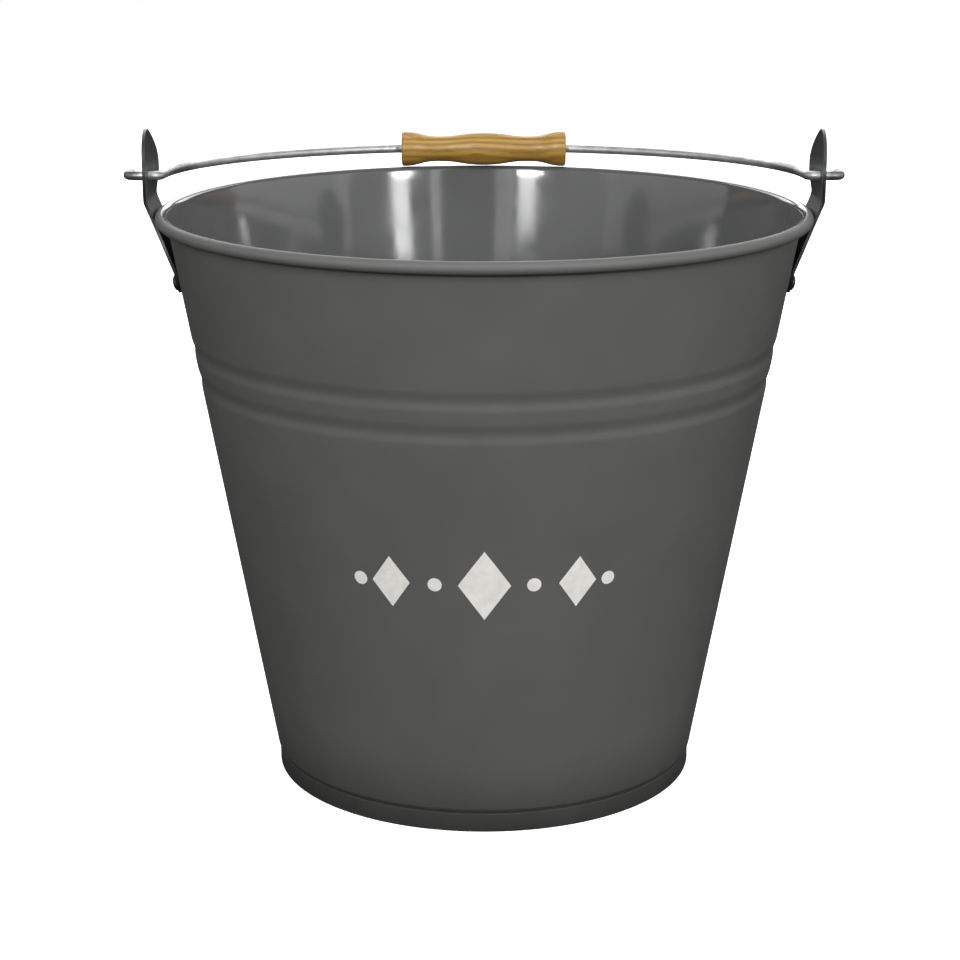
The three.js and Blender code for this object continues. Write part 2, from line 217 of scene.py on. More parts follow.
def revolve(outline, angles, shift=None):
    """Vertices and faces of a closed outline of (radius, height) points turned about the Z axis.

    An outline that reaches the axis has two neighbouring points on it. The outline is turned anticlockwise
    first, and shift(angle, index, point) then says where one of its points goes at an angle.
    """
    points = list(outline) if doubled_area(outline) > 0 else list(outline)[::-1]
    poles = []
    if any(p.x < ON_AXIS for p in points):
        while not (points[0].x < ON_AXIS and points[-1].x < ON_AXIS):
            points.append(points.pop(0))
        poles = [points.pop(0), points.pop()]
    vertices = []
    for angle in angles:
        for index, point in enumerate(points):
            p = shift(angle, index, point) if shift else point
            vertices.append(Vector((p.x * math.cos(angle), p.x * math.sin(angle), p.y)))
    rows, columns = len(points), len(angles)
    faces = []
    for c in range(columns):
        here, there = c * rows, (c + 1) % columns * rows
        for r in range(rows if not poles else rows - 1):
            up = (r + 1) % rows
            faces.append((here + r, there + r, there + up, here + up))
    if poles:
        low, high = len(vertices), len(vertices) + 1
        vertices += [Vector((0, 0, poles[0].y)), Vector((0, 0, poles[1].y))]
        for c in range(columns):
            here, there = c * rows, (c + 1) % columns * rows
            faces.append((low, there, here))
            faces.append((here + rows - 1, there + rows - 1, high))
    return vertices, faces


def sweep(points, plane_normal, radius, sides, chamfer):
    """Vertices and faces of a round wire along a flat path, with chamfered ends."""
    first, last = points[0], points[-1]
    start = (points[1] - first).normalized()
    end = (last - points[-2]).normalized()
    stations = [(first, start, radius - chamfer), (first + start * chamfer, start, radius)]
    for i in range(1, len(points) - 1):
        behind = (points[i] - points[i - 1]).normalized()
        ahead = (points[i + 1] - points[i]).normalized()
        stations.append((points[i], (behind + ahead).normalized(), radius))
    stations += [(last - end * chamfer, end, radius), (last, end, radius - chamfer)]
    vertices = []
    for centre, along, size in stations:
        side = along.cross(plane_normal).normalized()
        for k in range(sides):
            angle = 2 * math.pi * k / sides
            vertices.append(centre + (side * math.cos(angle) + plane_normal * math.sin(angle)) * size)
    faces = []
    for s in range(len(stations) - 1):
        for k in range(sides):
            step = (k + 1) % sides
            a, b = s * sides + k, s * sides + step
            faces.append((a, b, b + sides, a + sides))
    faces.append(tuple(range(sides))[::-1])
    faces.append(tuple(range(len(vertices) - sides, len(vertices))))
    return vertices, faces


def apply_modifiers(piece):
    """Puts the result of a piece's modifiers in the place of its mesh."""
    graph = bpy.context.evaluated_depsgraph_get()
    mesh = bpy.data.meshes.new_from_object(piece.evaluated_get(graph))
    piece.modifiers.clear()
    piece.data = mesh


def smoothstep(low, high, x):
    """Rises smoothly from 0 at low to 1 at high."""
    t = min(max((x - low) / (high - low), 0), 1)
    return t * t * (3 - 2 * t)


# ---- Colours, as linear red, green, blue and alpha ----

OUTSIDE_LIGHT, OUTSIDE_DARK = (0.105, 0.105, 0.101, 1), (0.094, 0.094, 0.091, 1)
INSIDE_LIGHT, INSIDE_DARK = (0.103, 0.104, 0.106, 1), (0.092, 0.093, 0.095, 1)
# The foot's colours are darker than the wall's: painted shade near the floor.
FOOT_LIGHT, FOOT_DARK = (0.075, 0.075, 0.073, 1), (0.062, 0.062, 0.060, 1)
# The fittings' near-black is painted shade, for the shadow on the edge-on ears.
FITTINGS_LIGHT, FITTINGS_DARK = (0.024, 0.025, 0.026, 1), (0.018, 0.019, 0.020, 1)
# The next colour is painted shade, darkening the outside towards the floor.
FLOOR_SHADE = (0.012, 0.012, 0.011, 1)
RUBBED_STEEL = (0.30, 0.30, 0.29, 1)

ZINC_DULL, ZINC_BRIGHT = (0.42, 0.43, 0.44, 1), (0.60, 0.61, 0.62, 1)
# The next colour is painted shade on the wire's shoulders and hooks, by the ears.
WIRE_SHADE = (0.06, 0.06, 0.065, 1)

WOOD_PALE, WOOD_RING = (0.42, 0.255, 0.052, 1), (0.28, 0.145, 0.019, 1)
WOOD_BLOTCH = (0.21, 0.095, 0.011, 1)
WOOD_PORE = (0.11, 0.042, 0.007, 1)

CREAM_LIGHT, CREAM_WORN = (0.80, 0.79, 0.75, 1), (0.70, 0.69, 0.65, 1)
WHITE = (1, 1, 1, 1)
FLOOR_GREY = (0.8, 0.8, 0.8, 1)

# ---- Sizes and strengths in the finishes ----

PEEL_DEPTH = 0.03 * MM
INSIDE_PEEL_DEPTH = 0.01 * MM
WAVE_DEPTH = 0.6 * MM  # of the sheet's slight waves

FLOOR_SHADE_HEIGHT = 44 * MM  # painted shade darkens the outside from here down to the foot
FLOOR_SHADE_FALL = 1.7  # above 1, the painted shade thins out faster upwards
FLOOR_SHADE_COVER = 0.85
FLOOR_SHADE_DULLING = 0.2
RIM_DULLING = 0.2
RUB_TOP = 1.2 * MM  # the foot's edge is rubbed below this height
RUB_BARE = 0.1 * MM  # and most of all below this one

# The wire's painted shade comes and goes between these distances from the bucket's middle plane.
SHOULDER_START = (142 * MM, 149 * MM)
SHOULDER_END = (157 * MM, 152 * MM)
HOOK_START = (164 * MM, 167 * MM)
SHOULDER_SHADE = 0.8
HOOK_SHADE = 0.7
WIRE_MARK_DEPTH = 0.02 * MM

RING_SHIFT = (0, 13 * MM, -20 * MM)  # moves the middle of the wood's growth rings
RING_RIPPLE = (0, 6 * MM, 6 * MM)
PORE_DEPTH = 0.05 * MM
TOOL_MARK_DEPTH = 0.02 * MM
BRUSH_MARK_DEPTH = 0.02 * MM

# ---- Materials ----


class Shader:
    """A material's node tree, with short calls for the nodes that this script uses."""

    def __init__(self, name):
        self.material = bpy.data.materials.new(name)
        self.material.use_nodes = True
        self.tree = self.material.node_tree
        self.surface = self.tree.nodes["Principled BSDF"]
        self.place = self.tree.nodes.new("ShaderNodeTexCoord").outputs["Object"]

    def node(self, kind, inputs=None, **settings):
        made = self.tree.nodes.new(kind)
        for key, value in settings.items():
            setattr(made, key, value)
        for key, value in (inputs or {}).items():
            self.put(value, made.inputs[key])
        return made

    def put(self, value, socket):
        if isinstance(value, bpy.types.NodeSocket):
            self.tree.links.new(value, socket)
        else:
            socket.default_value = value

    def scaled(self, scale):
        return self.node("ShaderNodeMapping", {"Vector": self.place, "Scale": scale}).outputs["Vector"]

    def noise(self, scale, detail, roughness=0.5, place=None, distortion=0.0):
        inputs = {"Vector": place or self.place, "Scale": scale, "Detail": detail, "Roughness": roughness}
        inputs["Distortion"] = distortion
        return self.node("ShaderNodeTexNoise", inputs).outputs["Fac"]

    def spread(self, value, low, high, new_low=0.0, new_high=1.0):
        """Spreads the values from low to high over the new range, and holds what lies beyond at its ends."""
        inputs = {"Value": value, "From Min": low, "From Max": high, "To Min": new_low, "To Max": new_high}
        return self.node("ShaderNodeMapRange", inputs).outputs["Result"]

    def math(self, operation, a, b=0.0):
        return self.node("ShaderNodeMath", {0: a, 1: b}, operation=operation).outputs["Value"]

    def mix(self, factor, a, b):
        # The node's colour sockets share their names with its number and vector sockets.
        return self.node("ShaderNodeMix", {"Factor": factor, 6: a, 7: b}, data_type="RGBA").outputs[2]

    def height(self):
        return self.node("ShaderNodeSeparateXYZ", {"Vector": self.place}).outputs["Z"]

    def bump(self, value, distance, under=None):
        inputs = {"Height": value, "Distance": distance, "Strength": 1.0}
        if under:
            inputs["Normal"] = under
        return self.node("ShaderNodeBump", inputs).outputs["Normal"]

    def set(self, **inputs):
        """Sets or links the surface's sockets, named with underscores for spaces."""
        for key, value in inputs.items():
            self.put(value, self.surface.inputs[key.replace("_", " ")])


def with_floor_shade(s, colour, rough):
    """Painted shade towards the floor, bare steel where the foot's edge is rubbed, and a duller rolled rim.
    """
    # Painted shade that deepens towards the floor.
    low = s.spread(s.height(), FLOOR_SHADE_HEIGHT, 0)
    patchy = s.spread(s.noise(scale=38, detail=5, roughness=0.65), 0.25, 0.75, 0.85, 1.05)
    floor_shade = s.math("MULTIPLY", s.math("POWER", low, FLOOR_SHADE_FALL), patchy)
    colour = s.mix(s.math("MULTIPLY", floor_shade, FLOOR_SHADE_COVER), colour, FLOOR_SHADE)
    rough = s.math("ADD", rough, s.math("MULTIPLY", floor_shade, FLOOR_SHADE_DULLING))
    rub = s.spread(s.noise(scale=160, detail=6, roughness=0.7), 0.54, 0.62)
    bare = s.math("MULTIPLY", rub, s.spread(s.height(), RUB_TOP, RUB_BARE))
    colour = s.mix(bare, colour, RUBBED_STEEL)
    roll_foot = RIM_HEIGHT - 2 * RIM_ROLL_RADIUS
    dull = s.spread(s.height(), roll_foot - RIM_ROLL_RADIUS / 2, roll_foot, 0, RIM_DULLING)
    return colour, s.math("ADD", rough, dull)


def stove_paint(name, light, dark, roughness, gloss=0.5, peel_depth=PEEL_DEPTH, floor_shaded=False):
    """Enamel on sheet steel: faint clouds in its colour, fine orange peel, slight waves of the sheet and,
    where asked for, painted shade towards the floor.
    """
    s = Shader(name)
    clouds = s.noise(scale=14, detail=4)
    specks = s.noise(scale=900, detail=2)
    colour = s.mix(s.spread(clouds, 0.3, 0.7), dark, light)
    colour = s.mix(s.spread(specks, 0.62, 0.75, 0, 0.35), colour, light)
    patches = s.noise(scale=55, detail=5, roughness=0.6)
    rough = s.spread(patches, 0.3, 0.7, roughness - 0.04, roughness + 0.05)
    if floor_shaded:
        colour, rough = with_floor_shade(s, colour, rough)
    peel = s.bump(s.noise(scale=650, detail=2), peel_depth)
    waves = s.bump(s.noise(scale=11, detail=1), WAVE_DEPTH, under=peel)
    s.set(Base_Color=colour, Roughness=rough, Normal=waves, Specular_IOR_Level=gloss)
    return s.material


def zinc_wire():
    """Drawn wire with a dulled, clouded zinc coat, and painted shade at its shoulders and on its hooks, by
    the ears.
    """
    s = Shader("zinc_wire")
    clouds = s.noise(scale=120, detail=4, roughness=0.6)
    colour = s.mix(s.spread(clouds, 0.35, 0.65), ZINC_DULL, ZINC_BRIGHT)
    across = s.math("ABSOLUTE", s.node("ShaderNodeSeparateXYZ", {"Vector": s.place}).outputs["X"])
    shoulder = s.math("MULTIPLY", s.spread(across, *SHOULDER_START), s.spread(across, *SHOULDER_END))
    hook = s.spread(across, *HOOK_START, 0, HOOK_SHADE)
    # Painted shade where the wire passes the ears.
    wire_shade = s.math("ADD", s.math("MULTIPLY", shoulder, SHOULDER_SHADE), hook)
    colour = s.mix(wire_shade, colour, WIRE_SHADE)
    rough = s.spread(s.noise(scale=300, detail=3), 0.3, 0.7, 0.4, 0.54)
    marks = s.bump(s.noise(scale=1500, detail=2), WIRE_MARK_DEPTH)
    s.set(Base_Color=colour, Metallic=0.85, Roughness=rough, Normal=marks)
    return s.material


def turned_wood():
    """Golden varnished hardwood, its grain along X, with growth rings, pores and faint tool rings."""
    s = Shader("turned_wood")
    flowing = s.scaled((0.12, 1, 1))
    ripple = s.noise(scale=60, detail=3, place=flowing, distortion=0.6)
    moved = s.node("ShaderNodeVectorMath", {0: s.scaled((0.25, 1, 1)), 1: RING_SHIFT}, operation="ADD")
    shaken = s.node("ShaderNodeVectorMath", {0: ripple, 1: RING_RIPPLE}, operation="MULTIPLY")
    centred = s.node("ShaderNodeVectorMath", {0: moved.outputs[0], 1: shaken.outputs[0]}, operation="ADD")
    rings = s.node(
        "ShaderNodeTexWave",
        {"Vector": centred.outputs[0], "Scale": 95, "Distortion": 1.5, "Detail": 3, "Detail Scale": 1.5},
        wave_type="RINGS",
        rings_direction="X",
    ).outputs["Fac"]
    pores = s.noise(scale=1400, detail=2, place=s.scaled((0.05, 1, 1)))
    blotch = s.noise(scale=45, detail=2, place=flowing)
    colour = s.mix(s.spread(rings, 0.1, 0.95), WOOD_PALE, WOOD_RING)
    colour = s.mix(s.spread(blotch, 0.35, 0.7, 0, 0.5), colour, WOOD_BLOTCH)
    colour = s.mix(s.spread(pores, 0.58, 0.72, 0, 0.55), colour, WOOD_PORE)
    rough = s.spread(rings, 0, 1, 0.42, 0.52)
    grooves = s.bump(pores, PORE_DEPTH)
    turning = s.noise(scale=900, detail=1, place=s.scaled((1, 0.02, 0.02)))
    tool = s.bump(turning, TOOL_MARK_DEPTH, under=grooves)
    s.set(Base_Color=colour, Roughness=rough, Normal=tool, Coat_Weight=0.12, Coat_Roughness=0.2)
    return s.material


def cream_paint():
    """The thin, slightly uneven coat of the painted ornament."""
    s = Shader("cream_paint")
    clouds = s.noise(scale=220, detail=4)
    colour = s.mix(s.spread(clouds, 0.35, 0.7), CREAM_LIGHT, CREAM_WORN)
    brushed = s.bump(s.noise(scale=900, detail=2), BRUSH_MARK_DEPTH)
    s.set(Base_Color=colour, Roughness=s.spread(clouds, 0.3, 0.7, 0.42, 0.55), Normal=brushed)
    return s.material


OUTSIDE = stove_paint("grey_enamel", OUTSIDE_LIGHT, OUTSIDE_DARK, roughness=0.44, gloss=0.7, floor_shaded=True)
INSIDE = stove_paint(
    "grey_enamel_inside", INSIDE_LIGHT, INSIDE_DARK, roughness=0.1, gloss=0.55, peel_depth=INSIDE_PEEL_DEPTH
)
# The foot's darker enamel is painted shade near the floor.
SHADED_FOOT = stove_paint("grey_enamel_foot_painted_shade", FOOT_LIGHT, FOOT_DARK, roughness=0.5, gloss=0.4, floor_shaded=True)
# Near-black on the ears and rivets: painted shade for the ears' shadow.
SHADED_FITTINGS = stove_paint("fittings_painted_shade", FITTINGS_LIGHT, FITTINGS_DARK, roughness=0.4)
WIRE = zinc_wire()
WOOD = turned_wood()
CREAM = cream_paint()

# ---- Lines shared by the wall and what is fastened to it ----

roll_middle = RIM_ROLL_RADIUS - SHEET / 2
roll_centre = Vector((SHELL_HIGH.x - RIM_ROLL_RADIUS, RIM_HEIGHT - RIM_ROLL_RADIUS))
band_height = BASE_HIGH.z
waist_middle = Vector((BASE_HIGH.x + WAIST_STEP - SHEET / 2, band_height))

# The wall's middle line leaves the waist and meets the roll as a tangent.
to_roll = roll_centre - waist_middle
WALL_TILT = math.atan2(to_roll.x, to_roll.y) - math.asin(roll_middle / to_roll.length)

band_middle = BASE_HIGH.x - SHEET / 2
seam_middle = band_middle - SHEET - CLEARANCE
leg_middle = seam_middle - SHEET - CLEARANCE


def beside_wall(height, distance):
    """Radius of a line that runs a distance outside the wall's outer face."""
    middle = waist_middle.x + math.tan(WALL_TILT) * (height - waist_middle.y)
    return middle + (distance + SHEET / 2) / math.cos(WALL_TILT)


# ---- Body ----


def wall_line():
    """The wall's middle line in (radius, height), from the edge in the foot seam to the edge in the roll."""
    neck_start = band_height + CLEARANCE
    neck_end = neck_start + NECK_HEIGHT
    edge = SHEET / 2 + SEAM_CORNER + CLEARANCE
    line = bent_line([
        (seam_middle, edge),
        (seam_middle, neck_start, NECK_HEIGHT),
        (beside_wall(neck_end, -SHEET / 2), neck_end, NECK_HEIGHT),
        (beside_wall(SWAGE_HEIGHTS[0] - SWAGE_WIDTH, -SHEET / 2), SWAGE_HEIGHTS[0] - SWAGE_WIDTH),
    ])[:-1]

    def add_plain(high):
        low = line[-1].y
        rows = math.ceil((high - low) / WALL_ROW)
        for k in range(1, rows):
            height = low + (high - low) * k / rows
            line.append(Vector((beside_wall(height, -SHEET / 2), height)))

    add_plain(SWAGE_HEIGHTS[0] - SWAGE_WIDTH / 2)
    for middle in SWAGE_HEIGHTS:
        for k in range(SWAGE_ROWS + 1):
            away = k / SWAGE_ROWS - 0.5
            dip = SWAGE_DEPTH * math.cos(math.pi * away) ** 2
            height = middle + away * SWAGE_WIDTH
            line.append(Vector((beside_wall(height, -SHEET / 2 - dip), height)))
    start = math.pi - WALL_TILT
    add_plain(roll_centre.y + roll_middle * math.sin(start))
    for k in range(ROLL_ROWS + 1):
        angle = start + (RIM_ROLL_END - start) * k / ROLL_ROWS
        line.append(roll_centre + Vector((math.cos(angle), math.sin(angle))) * roll_middle)
    return line


def body_shell():
    """The wall, with its lapped side seam on the right: a fine groove outside and a low step inside."""
    line = wall_line()
    outline = sheet_outline(line, SHEET)
    seam_half = SIDE_SEAM_WIDTH / 2 / beside_wall(SWAGE_HEIGHTS[0], 0)
    last = round(SEAM_REACH * SEAM_COLUMNS)
    seam_columns = [seam_half * k / SEAM_COLUMNS for k in range(-last, last + 1)]
    # The even columns leave room for the seam's own.
    spare = seam_columns[-1] + math.pi / ROUND
    angles = [a for a in even_angles(ROUND) if spare < a < 2 * math.pi - spare]
    angles = sorted(angles + [column % (2 * math.pi) for column in seam_columns])
    outer = set(range(len(line)))
    if doubled_area(outline) < 0:
        outer = set(range(len(line), 2 * len(line)))

    def lap(angle, index, point):
        """Where the side seam puts a point of the outline."""
        turned = angle if angle < math.pi else angle - 2 * math.pi
        fade = smoothstep(band_height + SEAM_START[0], band_height + SEAM_START[1], point.y)
        fade *= 1 - smoothstep(RIM_HEIGHT - SEAM_STOP[0], RIM_HEIGHT - SEAM_STOP[1], point.y)
        if not fade or abs(turned) > seam_columns[-1]:
            return point
        share = turned / seam_half
        if index in outer:
            return point - Vector((SIDE_SEAM_GROOVE * fade * math.exp(-(share / GROOVE_WIDTH) ** 2), 0))
        step = smoothstep(*STEP_RISE, share) * (1 - smoothstep(*STEP_FALL, share))
        return point - Vector((SIDE_SEAM_STEP * fade * step, 0))

    def is_inside(face):
        """Whether a face is on the wall's inner side, up to the crest of the roll."""
        away = Vector(face.center[:2])
        if away.dot(Vector(face.normal[:2])) >= 0 or away.length >= roll_centre.x:
            return False
        return face.center.z > roll_centre.y or away.length < beside_wall(face.center.z, -SHEET / 2)

    vertices, faces = revolve(outline, angles, lap)
    piece = add_piece("body_shell_fine", vertices, faces, OUTSIDE)
    piece.data.materials.append(INSIDE)
    for face in piece.data.polygons:
        if is_inside(face):
            face.material_index = 1
    return piece


def base_pan():
    """The pressed base: its floor, and the channel that takes the wall's edge and makes the foot."""
    floor_middle = FLOOR_HEIGHT - SHEET / 2
    line = bent_line([
        (0, floor_middle),
        (leg_middle, floor_middle, FLOOR_BEND),
        (leg_middle, SHEET / 2, SEAM_CORNER),
        (band_middle, SHEET / 2, SEAM_CORNER),
        (band_middle, band_height),
    ])
    first, second = line[0], line[1]
    line[1:1] = [first.lerp(second, k / FLOOR_RINGS) for k in range(1, FLOOR_RINGS)]
    vertices, faces = revolve(sheet_outline(line, SHEET), even_angles(ROUND))
    piece = add_piece("base_pan_fine", vertices, faces, SHADED_FOOT)
    piece.data.materials.append(INSIDE)
    for face in piece.data.polygons:
        if face.normal.z > FACING_UP and face.center.z > FLOOR_HEIGHT - FLOOR_BEND:
            face.material_index = 1
    return piece


# ---- Ears ----


def ear_half():
    """Half of the ear's outline as (across, height), from its foot to its tip."""
    foot, tip = EAR_LOW.z, EAR_HIGH.z
    head, neck, leaf = (EAR_HIGH.y - EAR_LOW.y) / 2, EAR_NECK_WIDTH / 2, EAR_LEAF_WIDTH / 2
    step, rim, shoulder = EAR_STEP_HEIGHT, RIM_HEIGHT, PIVOT.z + EAR_SHOULDER_RISE

    def reach(start, end):
        return start + (end - start) * EAR_CURVE

    curves = [
        ((0, foot), (leaf * EAR_FOOT_FULLNESS, foot), (leaf, reach(step, foot)), (leaf, step)),
        ((leaf, step), (leaf, reach(step, rim)), (neck, reach(rim, step)), (neck, rim)),
        ((neck, rim), (neck, reach(rim, shoulder)), (head, reach(shoulder, rim)), (head, shoulder)),
        ((head, shoulder), (head, reach(shoulder, tip)), (head * EAR_TIP_FULLNESS, tip), (0, tip)),
    ]
    points = []
    for curve in curves:
        points += interpolate_bezier(*(Vector(p) for p in curve), EAR_CURVE_POINTS)[1:]
    return points[:-1]


def ear_section():
    """The middle line of the ear's sheet in (radius, height), bent out over the rim."""
    inner = CLEARANCE + EAR_SHEET / 2
    foot, top = EAR_LOW.z - EAR_SHEET, EAR_HIGH.z + EAR_SHEET
    step = Vector((beside_wall(EAR_STEP_HEIGHT, inner), EAR_STEP_HEIGHT))
    to_rim = roll_centre - step
    lean = math.atan2(to_rim.x, to_rim.y) + math.asin((RIM_ROLL_RADIUS + inner) / to_rim.length)
    head = step.x + (EAR_HEAD_HEIGHT - step.y) * math.tan(lean)
    return bent_line([
        (beside_wall(foot, inner), foot),
        (*step, EAR_BEND),
        (head, EAR_HEAD_HEIGHT, EAR_BEND),
        (head, top),
    ])


def on_section(section, height):
    """The radius of the section at a height, and its outward direction there."""
    for low, high in zip(section, section[1:]):
        if low.y <= height <= high.y:
            along = (high - low).normalized()
            radius = low.x + (high.x - low.x) * (height - low.y) / (high.y - low.y)
            return radius, Vector((along.y, -along.x))
    raise ValueError(f"the section has no point at {height}")


def ear_grid(side, half_thickness):
    """Rows of points over the ear's inner or outer face."""
    section = ear_section()
    rows = []
    for width, height in ear_half():
        radius, out = on_section(section, height)
        r = radius + out.x * half_thickness
        z = height + out.y * half_thickness
        row = []
        for k in range(EAR_COLUMNS + 1):
            across = width * (2 * k / EAR_COLUMNS - 1)
            angle = math.asin(across / radius)
            row.append(Vector((side * r * math.cos(angle), side * r * math.sin(angle), z)))
        rows.append(row)
    return rows


def ear(name, side):
    """A pressed ear with its pivot hole; side is 1 on the right and -1 on the left."""
    outer = ear_grid(side, EAR_SHEET / 2)
    inner = ear_grid(side, -EAR_SHEET / 2)
    rows, columns = len(outer), EAR_COLUMNS + 1
    vertices = [p for row in outer for p in row] + [p for row in inner for p in row]
    back = rows * columns

    def at(r, c):
        return r * columns + c

    faces = []
    for r in range(rows - 1):
        for c in range(columns - 1):
            quad = (at(r, c), at(r, c + 1), at(r + 1, c + 1), at(r + 1, c))
            faces.append(quad)
            faces.append(tuple(v + back for v in quad[::-1]))
    border = [at(0, c) for c in range(columns)]
    border += [at(r, columns - 1) for r in range(1, rows)]
    border += [at(rows - 1, c) for c in range(columns - 2, -1, -1)]
    border += [at(r, 0) for r in range(rows - 2, 0, -1)]
    for a, b in zip(border, border[1:] + border[:1]):
        faces.append((b, a, a + back, b + back))
    piece = add_piece(name, vertices, faces, SHADED_FITTINGS, crease=EAR_CREASE)
    bpy.ops.mesh.primitive_cylinder_add(
        vertices=PIVOT_HOLE_SIDES, radius=PIVOT_HOLE_RADIUS, depth=4 * EAR_SHEET
    )
    drill = bpy.context.object
    head, _ = on_section(ear_section(), PIVOT.z)
    drill.matrix_world = Matrix.Translation((side * head, 0, PIVOT.z)) @ Matrix.Rotation(math.pi / 2, 4, "Y")
    hole = piece.modifiers.new("hole", "BOOLEAN")
    hole.object = drill
    edge = piece.modifiers.new("edge", "BEVEL")
    edge.width = EAR_EDGE_ROUND
    edge.segments = EAR_EDGE_STEPS
    edge.limit_method = "ANGLE"
    edge.angle_limit = EAR_CREASE
    edge.harden_normals = True
    apply_modifiers(piece)
    bpy.data.objects.remove(drill)
    return piece


# ---- Rivets ----


def rivet(node, side):
    """A round-headed rivet through the ear and the wall, with its flattened tail inside."""
    seat = EAR_SHEET + 2 * CLEARANCE
    tail = -SHEET - RIVET_TAIL_GAP
    outline = []
    for k in range(RIVET_DOME_STEPS + 1):
        a = math.pi / 2 * k / RIVET_DOME_STEPS
        outline.append(Vector((RIVET_HEAD_RADIUS * math.sin(a), seat + RIVET_HEAD_HEIGHT * math.cos(a))))
    outline += [Vector((RIVET_SHANK_RADIUS, seat)), Vector((RIVET_SHANK_RADIUS, tail))]
    for across, along in RIVET_TAIL_SHAPE:
        outline.append(Vector((RIVET_TAIL_RADIUS * across, tail - RIVET_TAIL_HEIGHT * along)))
    low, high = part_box(node)
    middle = (low + high) / 2
    radius = beside_wall(middle.z, 0)
    turned = math.asin(middle.y / radius)
    heading = turned if side > 0 else math.pi - turned
    place = Matrix.Translation((radius * math.cos(heading), radius * math.sin(heading), middle.z))
    place = place @ Matrix.Rotation(heading, 4, "Z") @ Matrix.Rotation(math.pi / 2 + WALL_TILT, 4, "Y")
    vertices, faces = revolve(outline, even_angles(RIVET_SIDES))
    return add_piece(node + "_fine", [place @ v for v in vertices], faces, SHADED_FITTINGS)


# ---- Bail and grip ----


def bail_wire():
    """The wire, on the plane through the pivot and the grip: u runs along X, v towards the grip."""
    reach = BAIL_HIGH.x - WIRE_RADIUS
    to_grip = GRIP_MIDDLE - PIVOT
    straight = (GRIP_HIGH.x - GRIP_LOW.x) / 2 + GRIP_END_PLAY
    arc_radius = math.hypot(straight, to_grip.length)
    knee = math.acos(straight / arc_radius)
    half = [(reach, HOOK_LENGTH), (reach, 0, BAIL_BEND), (arc_radius, 0, BAIL_BEND)]
    for k in range(1, BAIL_ARC_STEPS + 1):
        angle = knee * k / BAIL_ARC_STEPS
        half.append((arc_radius * math.cos(angle), arc_radius * math.sin(angle)))
    half[-1] += (BAIL_KNEE_BEND,)
    half[-2:-1] = []  # room for the knee's bend
    line = bent_line(half + [(-x, *rest) for x, *rest in half[::-1]])
    v_axis = to_grip.normalized()
    points = [PIVOT + Vector((p.x, 0, 0)) + v_axis * p.y for p in line]
    normal = Vector((1, 0, 0)).cross(v_axis)
    vertices, faces = sweep(points, normal, WIRE_RADIUS, WIRE_SIDES, WIRE_CHAMFER)
    return add_piece("bail_wire_fine", vertices, faces, WIRE)


def wood_grip():
    """The turned grip: flared ends, two waists and a full middle, with both ends of its bore countersunk."""
    half, end = (GRIP_HIGH.x - GRIP_LOW.x) / 2, (GRIP_HIGH.z - GRIP_LOW.z) / 2
    waist_run, belly_run = (half - GRIP_WAIST_PLACE) / 2, GRIP_WAIST_PLACE / 2
    waist = Vector((GRIP_WAIST_RADIUS, GRIP_WAIST_PLACE))
    flare = interpolate_bezier(
        Vector((end, half - GRIP_BEVEL)),
        Vector((end, half - waist_run)),
        waist + Vector((0, waist_run)),
        waist,
        GRIP_CURVE_POINTS,
    )
    belly = interpolate_bezier(
        waist,
        waist - Vector((0, belly_run)),
        Vector((GRIP_BELLY_RADIUS, belly_run)),
        Vector((GRIP_BELLY_RADIUS, 0)),
        GRIP_CURVE_POINTS,
    )
    upper = [Vector((GRIP_BORE, half - GRIP_COUNTERSINK)), Vector((GRIP_BORE + GRIP_COUNTERSINK, half))]
    for k in range(GRIP_BEVEL_STEPS):
        a = math.pi / 2 * k / GRIP_BEVEL_STEPS
        upper.append(Vector((end - GRIP_BEVEL * (1 - math.sin(a)), half - GRIP_BEVEL * (1 - math.cos(a)))))
    upper += flare + belly[1:]
    outline = upper + [Vector((p.x, -p.y)) for p in upper[-2::-1]]
    vertices, faces = revolve(outline, even_angles(GRIP_SIDES))
    place = Matrix.Translation(GRIP_MIDDLE) @ Matrix.Rotation(math.pi / 2, 4, "Y")
    return add_piece("wood_grip_fine", [place @ v for v in vertices], faces, WOOD)


# ---- Painted ornament ----

ORNAMENT_HEIGHT = 129 * MM
ORNAMENT_COAT = 0.08 * MM
ORNAMENT_GAP = 0.01 * MM  # between the coat's back and the wall
ORNAMENT_RINGS = 8
ORNAMENT_SPOKES = 64

# Each lozenge's place across the front, its width and its height.
LOZENGES = (
    (-43 * MM, 18 * MM, 25 * MM),
    (0, 24 * MM, 34 * MM),
    (43 * MM, 18 * MM, 25 * MM),
)
DOTS = (-22.5 * MM, 22.5 * MM, -58 * MM, 58 * MM)  # their places across the front
DOT_WIDTH = 6.5 * MM


